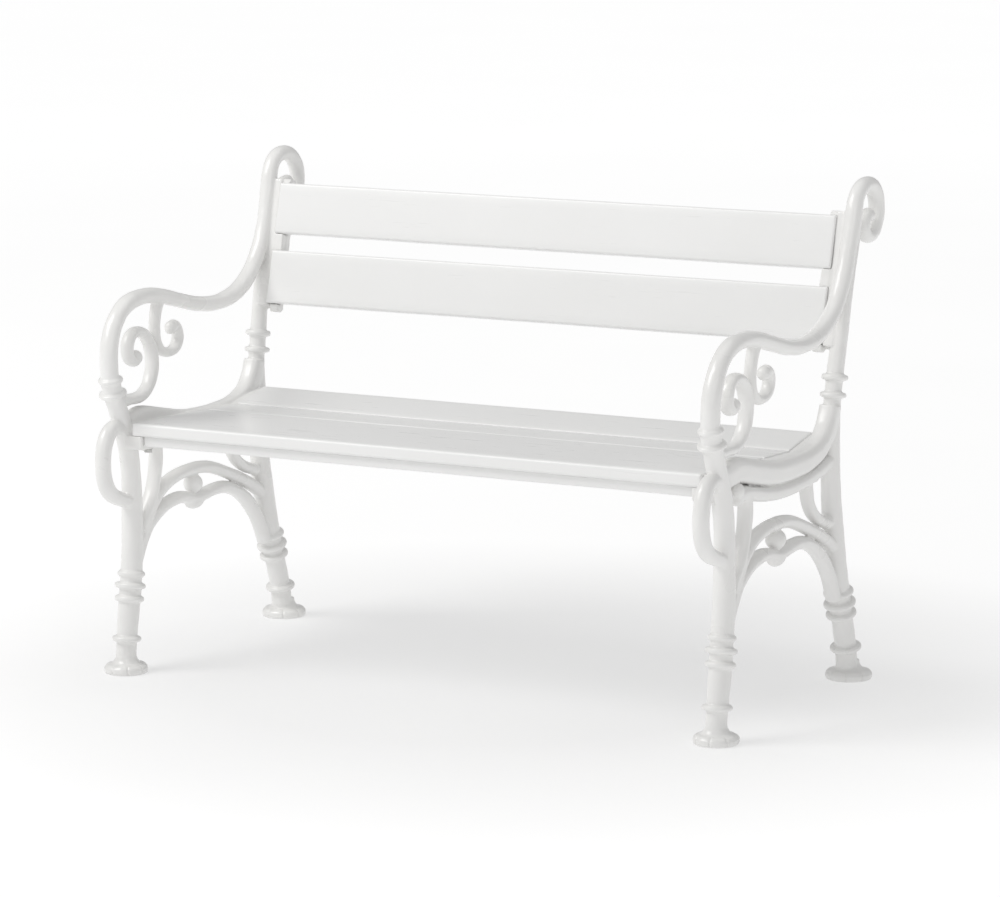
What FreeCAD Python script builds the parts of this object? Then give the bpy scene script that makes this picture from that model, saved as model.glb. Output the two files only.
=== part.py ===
import FreeCAD, Part
import math, os

# Two-seat garden bench: a pair of mirrored cast metal ends carry three seat
# boards, two back slats and a stiffening rail under the front of the seat.
# Millimetres.  X runs along the bench, +Y to the back, +Z up.  The origin is
# on the ground, at the middle of the bench's footprint box.

V = FreeCAD.Vector

# ------------------------------------------------------------------ sizes --
END_SPACING   = 1120.0   # between the centre planes of the two end castings
Y_SHIFT       = -271.43  # the curves below are drawn with y = 0 at the front foot

ARM_HALF_W    = 15.9     # arm and back tube, half width along X
ARM_HALF_T    = 13.6     # arm and back tube, half thickness in the casting's plane
FOOT_R        = 38.5     # front foot
REAR_FOOT_R   = 40.5
RING_T        = 9.5      # thickness of the turned rings

SLAT_T        = 22.0     # board thickness
LOW_SLAT_W    = 95.0     # lower back slat
UP_SLAT_W     = 91.0     # upper back slat
SLAT_EDGE_R   = 5.0
SEAT_END_GAP  = 26.0     # board end to the casting's centre plane, seat
BACK_END_GAP  = 20.5     # the same, back
SPLAY         = 0.0245   # the arms and back lean outwards by this slope
SPLAY_FROM    = 440.0    # above this height
BACK_SLOPE    = 0.2735   # dy/dz of the back

FRONT_BOARD   = ((-9.0, 436.5), (232.0, 426.0))    # front and rear top edges (y, z)
MIDDLE_BOARD  = ((236.0, 425.4), (329.5, 421.6))
REAR_BOARD    = ((333.0, 422.6), (425.0, 440.0))
BACK_LOW_Z    = 588.0    # lower edge of the lower back slat, at its front face
BACK_UP_Z     = 709.0    # lower edge of the upper back slat
BACK_FACE_Y   = 473.0    # front face of the back slats, at z = 700

RIB_IN        = 42.5     # inner face of the slat ribs, from the centre plane
RIB_OUT       = 26.0
RIB_SET       = 3.5      # the back rib's front face behind the slats' faces
RIB_D         = 29.0     # depth of the back rib
SEAT_RIB_H    = 24.0
BACK_SCREW_X  = 28.0     # back slat screws, from the centre plane
POCKET_BACK   = 5.0      # pocket beside the back slats' ends, behind their faces
POCKET_SET    = 2.0      # pocket ledge beside the board ends, below their tops

RAIL_T        = 22.0     # stiffening rail under the front board
RAIL_H        = 17.0
RAIL_SET      = 10.0     # behind the board's front edge

SCREW_D       = 8.0
SCREW_HOLE    = 9.0
HEAD_AF       = 13.0
HEAD_H        = 5.5
WASHER_D      = 16.0
WASHER_T      = 1.6

HALF = END_SPACING / 2.0

# ---------------------------------------------------------------- helpers --
def plane_pt(y, z, x=0.0):
    return V(x, y, z)

def splay(z):
    """How far the casting leans outwards at height z."""
    return SPLAY * max(0.0, z - SPLAY_FROM)

def spline(pts):
    c = Part.BSplineCurve()
    c.interpolate(Points=[plane_pt(p[0], p[1]) for p in pts])
    return c

def section(c, t, a, b, power=2.0, shift=0.0, n=12):
    """Closed curve across the centre line at parameter t: half width a along X,
    half thickness b in the plane of the casting."""
    p = c.value(t)
    d = c.tangent(t)[0]
    d.normalize()
    nrm = V(0, -d.z, d.y)
    pts = []
    for i in range(n):
        ang = 2 * math.pi * i / n
        ca, sa = math.cos(ang), math.sin(ang)
        ex = math.copysign(abs(ca) ** (2.0 / power), ca)
        ez = math.copysign(abs(sa) ** (2.0 / power), sa)
        q = p + V(a * ex + shift, 0, 0) + nrm * (b * ez)
        pts.append(q + V(splay(q.z), 0, 0))
    bs = Part.BSplineCurve()
    bs.interpolate(Points=pts, PeriodicFlag=True)
    return Part.Wire([bs.toShape()])

def tube(pts, power=2.0, step=26.0, turn=20.0, x=0.0):
    """Sweep through (y, z, half_width, half_thickness) stations."""
    c = spline(pts)
    ks = [c.parameter(plane_pt(p[0], p[1])) for p in pts]
    ks[0], ks[-1] = c.FirstParameter, c.LastParameter
    def radii(t):
        for i in range(len(ks) - 1):
            if t <= ks[i + 1] or i == len(ks) - 2:
                u = (t - ks[i]) / (ks[i + 1] - ks[i])
                u = max(0.0, min(1.0, u))
                return (pts[i][2] + (pts[i + 1][2] - pts[i][2]) * u,
                        pts[i][3] + (pts[i + 1][3] - pts[i][3]) * u)
    # stations: no further apart than step, and no more than turn degrees
    ts = [ks[0]]
    L = c.length()
    n = max(int(L / 1.5), 20)
    prev_d = c.tangent(ks[0])[0]
    prev_s = 0.0
    for i in range(1, n + 1):
        s = L * i / n
        t = c.parameterAtDistance(s, ks[0]) if i < n else ks[-1]
        d = c.tangent(t)[0]
        if s - prev_s >= step or math.degrees(prev_d.getAngle(d)) >= turn or i == n:
            if i == n and s - prev_s < 4.0 and len(ts) > 1:
                ts[-1] = t
            else:
                ts.append(t)
            prev_d, prev_s = d, s
    wires = [section(c, t, radii(t)[0], radii(t)[1], power, x) for t in ts]
    s = Part.makeLoft(wires, True, False, False)
    if not s.isValid():
        s.fix(0.01, 0.01, 0.01)
    if s.Volume < 0:
        s.reverse()
    return s

def ball(y, z, r, x=0.0):
    return Part.makeSphere(r, plane_pt(y, z, x + splay(z)))

def ellipsoid(y, z, rx, ry, rz):
    s = Part.makeSphere(1.0)
    m = FreeCAD.Matrix()
    m.scale(rx, ry, rz)
    s = s.transformGeometry(m)
    s.translate(plane_pt(y, z))
    return s

def ring(y, z, R, lean_y, lean_z, t=RING_T):
    """Turned collar ring: a fat torus with a core, about a leaning axis."""
    ax = V(0, lean_y, lean_z)
    ax.normalize()
    r = t / 2.0
    c = plane_pt(y, z, splay(z))
    tor = Part.makeTorus(R - r, r, c, ax)
    cyl = Part.makeCylinder(R - r, t * 0.98, c - ax * (t * 0.49), ax)
    return tor.fuse(cyl)

def foot(y, R, neck, lean=0.0):
    """Round foot: flat base, rounded rim, swept up to the ankle."""
    prof = [V(0, 0, 0), V(R - 2.0, 0, 0)]
    e = [Part.makeLine(prof[0], prof[1])]
    e.append(Part.Arc(V(R - 2.0, 0, 0), V(R, 0, 4.5), V(R - 3.0, 0, 9.5)).toShape())
    s = Part.BSplineCurve()
    s.interpolate(Points=[V(R - 3.0, 0, 9.5), V(R - 10.5, 0, 14.0), V(neck + 3.0, 0, 21.0), V(neck, 0, 33.0)])
    e.append(s.toShape())
    e.append(Part.makeLine(V(neck, 0, 33.0), V(0, 0, 33.0)))
    e.append(Part.makeLine(V(0, 0, 33.0), V(0, 0, 0)))
    f = Part.Face(Part.Wire(e))
    s = f.revolve(V(0, 0, 0), V(0, 0, 1), 360)
    s.translate(V(0, y, 0))
    return s

def plate(poly, x0, x1):
    """Closed (y, z) outline given thickness from x0 to x1."""
    w = Part.makePolygon([V(x0, p[0], p[1]) for p in poly] + [V(x0, poly[0][0], poly[0][1])])
    return Part.Face(w).extrude(V(x1 - x0, 0, 0))

def rot_box(front, width, thick, ang, x0, x1, edge):
    """Board: its top front edge at (y, z), width along the slope, thickness
    below it, long edges rounded."""
    b = Part.makeBox(x1 - x0, width, thick, V(x0, 0, -thick))
    if edge > 0:
        es = [e for e in b.Edges if abs(e.Vertexes[0].X - e.Vertexes[1].X) > 1.0]
        b = b.makeFillet(edge, es)
    b.rotate(V(0, 0, 0), V(1, 0, 0), math.degrees(ang))
    b.translate(V(0, front[0], front[1]))
    return b

# ------------------------------------------------- casting curves (y, z) ----
A, B = ARM_HALF_W, ARM_HALF_T

FRONT_LEG = [(0, 16, 17.7, 17.7), (1.2, 36, 17.7, 17.7), (3.4, 58, 18.0, 18.0), (8.2, 92, 18.4, 18.4),
             (14.5, 126, 18.6, 18.6), (19.5, 160, 18.8, 18.8), (24, 200, 18.8, 18.8), (26.5, 245, 18.6, 18.6),
             (26.5, 295, 17.8, 17.8), (25, 338, 17.2, 17.0), (21.5, 366, 17.0, 16.8), (16, 391, 17.0, 16.6),
             (8, 414, 17.2, 16.5), (-1.5, 436, 17.2, 16.5), (-10.5, 456, 16.8, 16.0), (-18.5, 473, 16.6, 16.0),
             (-25, 488, 16.8, 16.2), (-29.5, 502, 16.8, 15.6), (-32, 518, 16.8, 15.0)]

ARM = [(-27.8, 496, A, 15.0), (-32, 515, A, 14.6), (-34, 535, A, 14.2), (-33.2, 553, A, 13.8), (-29.5, 573, A, B),
       (-21, 593, A, B), (-7.5, 612, A - .2, B), (13, 628, A - .3, B), (38, 637.6, A - .4, B), (65, 641.2, A - .4, B - .2),
       (92, 641, A - .5, 13.2), (125, 636.8, A - .6, 13.0), (165, 628, A - .8, 13.0), (202, 618.6, A - .9, 13.0), (241, 609.2, A - .9, 13.2),
       (281, 603.4, A - .9, 13.5), (315, 602.2, A - .9, 13.8), (346, 604.6, A - .9, 14.0), (375, 611.0, A - 1, 14.0),
       (402, 622.2, A - 1.1, 14.0), (426, 637.2, A - 1.2, 13.8), (446.5, 656, A - 1.4, 13.6), (462.5, 677.5, A - 1.5, 13.4),
       (476, 701, A - 1.6, 13.2), (486.8, 727, A - 1.7, 13.2), (495.6, 754, A - 1.7, 13.2), (503.4, 781, A - 1.7, 13.2),
       (509.5, 806, A - 1.7, 13.2), (518.5, 826.5, A - 1.8, 13.2), (534, 838.8, A - 1.8, 13.2), (553.5, 843, A - 1.8, 13.2),
       (574, 840.5, A - 1.8, 13.2), (591.5, 829.5, A - 1.8, 13.0), (602.8, 812.5, A - 1.8, 13.0), (604.9, 792, A - 1.8, 12.8),
       (599, 772.5, A - 2, 12.6), (585.5, 758.6, A - 2.2, 12.4), (568, 754.8, A - 2.4, 12.0), (553.5, 761.2, A - 2.6, 11.5),
       (547.6, 774, A - 2.8, 11.0), (553.5, 786.4, A - 3, 10.6), (565, 790.4, A - 3, 10.2)]

REAR_LEG = [(523, 16, 18.4, 18.4), (519.8, 36, 18.4, 18.4), (515.6, 57, 18.2, 18.2), (506, 88, 18.2, 18.2),
            (495.5, 120, 18.6, 18.6), (483.5, 155, 19.0, 19.0), (474, 186, 19.4, 19.4), (464, 226, 19.0, 19.0),
            (455.5, 270, 18.2, 18.2), (449.5, 310, 17.4, 17.4), (445, 348, 16.6, 16.6), (441.8, 386, 16.6, 16.6),
            (440.4, 424, 16.5, 16.5), (441.2, 462, 15.6, 15.6), (446, 498, 14.8, 14.6), (452, 530, 14.4, 14.0),
            (458.5, 562, 14.2, 14.0), (466, 596, 14.0, 14.0), (474.5, 634, 13.6, 13.6), (483.5, 668, 12.9, 12.6),
            (493, 700, 12.4, 11.8), (501.5, 728, 12.0, 11.2), (509, 755, 11.6, 10.6), (515.5, 780, 11.0, 9.8), (519.5, 800, 9.4, 8.0)]

LOOP = [(14, 415, 13.6, 13.6), (-4, 425.5, 13.8, 13.8), (-22, 429.3, 13.8, 13.8), (-39.5, 424, 13.8, 13.8),
        (-53.5, 407.5, 13.8, 13.8), (-60.4, 385, 13.8, 13.8), (-61, 361.5, 13.8, 13.8), (-56, 340, 13.8, 13.8),
        (-44.5, 322.5, 13.8, 13.6), (-27.5, 310.8, 13.6, 13.2), (-8.5, 303.2, 13.2, 12.6), (9, 297.2, 12.6, 11.8),
        (22, 292.6, 12.0, 10.6)]

C_SCROLL = [(-8, 472.5, 12.0, 9.0), (6, 472.0, 12.5, 9.2), (24, 470.6, 13.0, 9.4), (45, 470.4, 13.0, 9.6), (67, 474.8, 13.0, 9.6),
            (84.5, 486.8, 13.0, 9.6), (95.8, 505, 13.0, 9.6), (100, 526.5, 13.0, 9.6), (97, 548, 13.0, 9.4),
            (88, 566, 13.0, 9.2), (73.5, 578.2, 12.8, 9.0), (55.5, 583.4, 12.6, 8.8), (38.5, 580.4, 12.6, 8.8),
            (27.5, 569.8, 12.6, 8.8), (24, 555.5, 12.8, 9.0), (28.2, 542, 13.0, 9.6), (38.5, 535.2, 13.0, 10.2), (46, 536.4, 12.6, 10.6)]

STEM = [(125, 627, 11.4, 11.5), (116.5, 608, 11.0, 9.8), (111.6, 587, 11.0, 9.2), (111.8, 567.5, 11.0, 8.8),
        (118.6, 550.5, 11.0, 8.6), (133, 539.4, 11.0, 8.6), (152.5, 535.6, 11.0, 8.6), (170, 538.6, 11.0, 8.6),
        (182, 549.4, 11.0, 8.6), (185, 563, 11.0, 8.6), (179.5, 575.6, 11.0, 8.8), (169, 580.6, 11.0, 9.0)]

RAIL = [(10, 429, 13.0, 20.0), (36, 431.5, 15.0, 21.5), (66, 433.5, 15.6, 20.8), (98, 427.6, 15.8, 20.0), (131, 420.4, 16.0, 20.4),
        (165, 413.6, 16.2, 20.6), (203, 407.6, 16.2, 20.6), (245, 405.0, 16.2, 20.6), (290, 404.8, 16.2, 20.4),
        (330, 407.0, 16.2, 20.0), (363, 412.4, 16.2, 19.6), (391, 422.4, 16.4, 19.6), (413, 438.6, 16.6, 19.4),
        (428, 460, 16.8, 18.4), (437, 484, 17.0, 17.0)]

BAND = [(60, 386, 12.0, 10.0), (88, 391.6, 13.5, 11.8), (112, 388.4, 13.5, 12.2), (140, 382.6, 13.5, 12.2), (172, 377.2, 13.5, 12.2), (210, 372.8, 13.5, 12.2),
        (255, 371.4, 13.5, 12.0), (300, 372.4, 13.5, 11.8), (342, 375.6, 13.5, 11.8), (378, 380.6, 13.5, 12.2),
        (408, 386.0, 13.0, 13.0), (436, 391.0, 12.0, 13.0)]

S_BRACE = [(49, 238, 13.0, 10.0), (62, 262, 13.5, 10.0), (76, 279, 13.5, 10.0), (88.5, 298, 13.5, 9.8), (96.5, 319, 13.5, 9.6), (101.4, 341, 13.4, 9.5),
           (104.2, 361.5, 13.2, 9.5), (103, 379, 13.0, 9.6), (93.5, 391.6, 12.8, 9.8), (79.5, 394.6, 12.4, 10.0), (70.5, 389.2, 12.0, 10.4)]

UPPER_ARCH = [(40, 214, 12.5, 10.0), (56, 238, 13.0, 10.4), (73, 261, 13.2, 10.6), (91, 281, 13.2, 10.8), (112, 297.4, 13.2, 10.8),
              (137, 309.2, 13.2, 10.8), (166, 316.2, 13.2, 10.8), (195, 319.4, 13.2, 10.8), (225, 320, 13.2, 10.8),
              (256, 317.8, 13.2, 10.8), (285, 312, 13.2, 10.8), (312, 303.6, 13.2, 10.8), (340, 293.2, 13.2, 10.8),
              (370, 281.2, 13.2, 11.0), (400, 268.4, 13.4, 11.4), (430, 253.6, 13.6, 12.0), (456, 238, 13.6, 12.4)]

LOWER_ARCH = [(27, 165, 13.5, 11.5), (36, 192, 13.5, 11.8), (50.5, 218, 13.4, 11.6), (69, 239.5, 13.3, 11.2), (92, 256, 13.2, 11.0),
              (118, 267, 13.2, 10.8), (146, 274.0, 13.2, 10.8), (172, 276.2, 13.2, 10.8), (195, 273.0, 13.2, 10.8),
              (216, 268.2, 13.2, 10.6), (237, 267.0, 13.2, 10.6), (260, 269.6, 13.2, 10.6), (285, 272.2, 13.2, 10.8),
              (310, 272.4, 13.2, 10.8), (335, 268.4, 13.2, 11.0), (360, 259.4, 13.2, 11.2), (386, 245.4, 13.3, 11.6),
              (409, 227.6, 13.4, 12.0), (430, 205.6, 13.6, 12.4), (450, 176, 13.8, 12.6), (462, 150, 13.8, 12.4)]

REAR_BRACE = [(340, 377, 12.0, 9.8), (343.4, 357, 12.0, 9.6), (348.4, 339, 12.0, 9.4), (358, 322.6, 12.0, 9.4), (372, 309.6, 12.0, 9.6),
              (390, 299.2, 12.0, 10.0), (409, 291.4, 12.0, 10.4), (424, 287.4, 11.8, 10.8)]

# ------------------------------------------------------- back slat lines ----
back_ang = math.atan(BACK_SLOPE)              # lean from vertical
bu = (math.sin(back_ang), math.cos(back_ang))  # up the back, (y, z)
bn = (math.cos(back_ang), -math.sin(back_ang)) # to the rear, square to the slats

def back_pt(z, depth=0.0):
    """Point on the slats' front face line at height z, then depth to the rear."""
    return (BACK_FACE_Y + BACK_SLOPE * (z - 700.0) + depth * bn[0], z + depth * bn[1])

def along(p, s):
    return (p[0] + bu[0] * s, p[1] + bu[1] * s)

def board_ang(b):
    return math.atan2(b[1][1] - b[0][1], b[1][0] - b[0][0])

def board_w(b):
    return math.hypot(b[1][0] - b[0][0], b[1][1] - b[0][1])

# ----------------------------------------------------------- inner ribs ----
def back_rib():
    """Rib inside the casting that houses the back slats: it stands between
    the slats, and is cut back behind each of them."""
    z_low, z_top = BACK_LOW_Z, BACK_UP_Z
    slat_lo = back_pt(z_low)
    slat_up = back_pt(z_top)
    rise = (z_top - z_low) / math.cos(back_ang)      # between the slats' lower edges
    def off(p, d):
        return (p[0] + d * bn[0], p[1] + d * bn[1])
    clear = 0.25
    out = []
    # front outline, from the bottom upwards
    out.append(off(along(slat_lo, -14.0), RIB_SET + 10.0))
    out.append(off(along(slat_lo, -clear - 1.0), RIB_SET + 6.0))
    out.append(off(along(slat_lo, -clear - 1.0), SLAT_T + clear))
    out.append(off(along(slat_lo, LOW_SLAT_W + clear), SLAT_T + clear))
    out.append(off(along(slat_lo, LOW_SLAT_W + clear), RIB_SET))
    out.append(off(along(slat_up, -clear), RIB_SET))
    out.append(off(along(slat_up, -clear), SLAT_T + clear))
    out.append(off(along(slat_up, UP_SLAT_W + clear), SLAT_T + clear))
    out.append(off(along(slat_up, UP_SLAT_W + clear), RIB_SET + 4.0))
    out.append(off(along(slat_up, UP_SLAT_W + 8.0), RIB_SET + 9.0))
    out.append(off(along(slat_up, UP_SLAT_W + 9.0), RIB_SET + RIB_D - 6.0))
    out.append(off(along(slat_up, UP_SLAT_W + 1.0), RIB_SET + RIB_D))
    out.append(off(along(slat_lo, -8.0), RIB_SET + RIB_D))
    out.append(off(along(slat_lo, -14.0), RIB_SET + RIB_D - 6.0))
    rib = plate(out, -RIB_IN, -RIB_OUT + 0.0)
    # web between the rib and the back tube and post
    def web_outline(z0, z1, d0, d1):
        return [off(along(slat_lo, z0), d0), off(along(slat_lo, z1), d0),
                off(along(slat_lo, z1), d1), off(along(slat_lo, z0), d1)]
    web = plate(web_outline(-8.0, rise + UP_SLAT_W - 6.0, SLAT_T + 0.25, RIB_SET + RIB_D - 4.0), -RIB_OUT - 1.0, -7.0)
    # the rib leans outwards with the back tube; the pocket beside the slat
    # ends stands plumb
    lean = FreeCAD.Matrix()
    lean.A13 = SPLAY
    lean.A14 = -SPLAY * SPLAY_FROM
    rib = rib.transformGeometry(lean)
    pocket = plate(web_outline(-4.0, rise + UP_SLAT_W + 7.0, POCKET_BACK, RIB_SET + RIB_D - 6.0), -BACK_END_GAP + 1.0, -1.0)
    return [rib, web, pocket]

def seat_rib():
    """Shelf inside the seat rail that the seat boards are screwed down to."""
    def under(b, y_extra0=0.0, y_extra1=0.0, drop=0.0):
        a = board_ang(b)
        n = (math.sin(a), -math.cos(a))
        p0 = (b[0][0] + n[0] * (SLAT_T + drop) - y_extra0 * math.cos(a), b[0][1] + n[1] * (SLAT_T + drop) - y_extra0 * math.sin(a))
        p1 = (b[1][0] + n[0] * (SLAT_T + drop) + y_extra1 * math.cos(a), b[1][1] + n[1] * (SLAT_T + drop) + y_extra1 * math.sin(a))
        return p0, p1
    f0, f1 = under(FRONT_BOARD, -3.0)
    m0, m1 = under(MIDDLE_BOARD)
    r0, r1 = under(REAR_BOARD, 0.0, -2.0)
    h = SEAT_RIB_H
    top = [f0, f1, m0, m1, (r0[0], r0[1]), r1]
    bot = [(r1[0] + 2.0, r1[1] - h), (r0[0] - 2.0, r0[1] - h + 1.0), (m0[0], m0[1] - h), (f1[0] * 0.5, (f0[1] + f1[1]) / 2 - h), (f0[0] + 3.0, f0[1] - h), (f0[0], f0[1] - h + 5.0)]
    return plate(top + bot, -RIB_IN, -8.0)

def seat_pocket():
    """Ledge on the casting that closes the space beside the board ends."""
    def top(b, cut0=0.0, cut1=0.0):
        a = board_ang(b)
        n = (math.sin(a), -math.cos(a))
        d = (math.cos(a), math.sin(a))
        return ((b[0][0] + n[0] * POCKET_SET + d[0] * cut0, b[0][1] + n[1] * POCKET_SET + d[1] * cut0),
                (b[1][0] + n[0] * POCKET_SET - d[0] * cut1, b[1][1] + n[1] * POCKET_SET - d[1] * cut1))
    f, m, r = top(FRONT_BOARD, 10.0), top(MIDDLE_BOARD), top(REAR_BOARD, 0.0, 4.0)
    up = [f[0], f[1], m[0], m[1], r[0], r[1]]
    low = [(r[1][0], r[1][1] - 34.0), (r[0][0], r[0][1] - 34.0), (m[1][0], m[1][1] - 34.0), (f[1][0], f[1][1] - 34.0), (f[0][0], f[0][1] - 34.0)]
    return plate(up + low, -SEAT_END_GAP + 0.5, -7.0)

# ------------------------------------------------------------- fasteners ----
def screw_axes():
    """(board name, point on the rib's outer side, direction into the board)."""
    ax = []
    xs = (RIB_IN + RIB_OUT) / 2.0
    for name, b, fr in (("seat_front", FRONT_BOARD, (0.16, 0.5, 0.84)), ("seat_middle", MIDDLE_BOARD, (0.25, 0.75)),
                        ("seat_rear", REAR_BOARD, (0.25, 0.72))):
        a = board_ang(b)
        for f in fr:
            y = b[0][0] + (b[1][0] - b[0][0]) * f
            z = b[0][1] + (b[1][1] - b[0][1]) * f
            nrm = V(0, -math.sin(a), math.cos(a))
            ax.append((name, V(-xs, y, z) - nrm * SLAT_T, nrm))
    for name, z, w in (("back_lower", BACK_LOW_Z, LOW_SLAT_W), ("back_upper", BACK_UP_Z, UP_SLAT_W)):
        for f in (0.25, 0.75):
            p = along(back_pt(z, SLAT_T), w * f)
            ax.append((name, V(-BACK_SCREW_X, p[0], p[1]), V(0, -bn[0], -bn[1])))
    return ax

def rib_thickness(name):
    return SEAT_RIB_H if name.startswith("seat") else RIB_SET + RIB_D - SLAT_T

def hexagon(c, n, h, af):
    r = af / math.sqrt(3.0)
    u = V(1, 0, 0)
    w = n.cross(u)
    pts = []
    for i in range(7):
        t = math.radians(60 * i + 30)
        pts.append(c + u * (r * math.cos(t)) + w * (r * math.sin(t)))
    return Part.Face(Part.makePolygon(pts)).extrude(n * h)

# ----------------------------------------------------------- the casting ----
def casting_parts():
    s = []
    s.append(("leg", tube(FRONT_LEG)))
    s.append(("foot", foot(0.0, FOOT_R, 18.0)))
    s.append(("rear", tube(REAR_LEG)))
    s.append(("rfoot", foot(528.6, REAR_FOOT_R, 19.0)))
    s.append(("arm", tube(ARM)))
    s.append(("armeye", ball(568.0, 790.2, 12.6)))
    for y, z, R, ly, lz in ((2.9, 58.0, 25.5, .1, 1), (13.9, 126.2, 25.2, .16, 1), (17.1, 148.4, 26.7, .16, 1), (20.6, 168.6, 23.8, .15, 1),
                            (-25.6, 487.4, 24.0, -.28, 1), (-31.0, 511.4, 21.6, -.2, 1)):
        s.append(("ring", ring(y, z, R, ly, lz)))
    for y, z, R, ly, lz in ((516.0, 56.9, 26.8, -.22, 1), (494.8, 119.2, 26.6, -.33, 1), (488.0, 138.6, 28.0, -.33, 1), (481.6, 158.6, 25.9, -.33, 1),
                            (447.4, 500.6, 22.8, .15, 1), (452.0, 529.8, 22.8, .18, 1)):
        s.append(("ring", ring(y, z, R, ly, lz)))
    s.append(("loop", tube(LOOP)))
    s.append(("cscroll", tube(C_SCROLL)))
    s.append(("ceye", ball(48.0, 540.0, 13.2)))
    s.append(("stem", tube(STEM, step=20.0)))
    s.append(("seye", ball(164.0, 576.5, 11.4)))
    s.append(("rail", tube(RAIL, power=2.9)))
    s.append(("band", tube(BAND, power=2.5)))
    s.append(("sbrace", tube(S_BRACE, step=20.0)))
    s.append(("sball", ball(71.0, 386.0, 12.6)))
    s.append(("uarch", tube(UPPER_ARCH)))
    s.append(("larch", tube(LOWER_ARCH)))
    s.append(("node", ball(223.5, 293.4, 17.2)))
    s.append(("bulb", ellipsoid(226.5, 262.5, 13.0, 27.0, 14.4)))
    s.append(("rbrace", tube(REAR_BRACE)))
    s.append(("rball", ball(429.0, 287.0, 12.6)))
    for r in back_rib():
        s.append(("brib", r))
    s.append(("srib", seat_rib()))
    s.append(("pocket", seat_pocket()))
    return s

def casting():
    parts = casting_parts()
    for n, p in parts:
        if not p.isValid() or len(p.Solids) != 1:
            print("CHECK", n, p.isValid(), len(p.Solids))
    body = parts[0][1]
    body = body.multiFuse([p for _, p in parts[1:]])
    print("fused solids", len(body.Solids), "valid", body.isValid(), "volume", round(body.Volume))
    sol = sorted(body.Solids, key=lambda q: -q.Volume)[0]
    return sol

def finish_pos(shape, mirror_it=False):
    s = shape.copy()
    if mirror_it:
        s = s.mirror(V(0, 0, 0), V(1, 0, 0))
        s.translate(V(-HALF, Y_SHIFT, 0))
    else:
        s.translate(V(HALF, Y_SHIFT, 0))
    return s

def group(shapes):
    return Part.Compound(shapes) if len(shapes) > 1 else shapes[0]

def both_sides(sh):
    """Shapes drawn beside the right-hand casting's plane, on both ends."""
    return [finish_pos(q) for q in sh] + [finish_pos(q, True) for q in sh]

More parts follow.
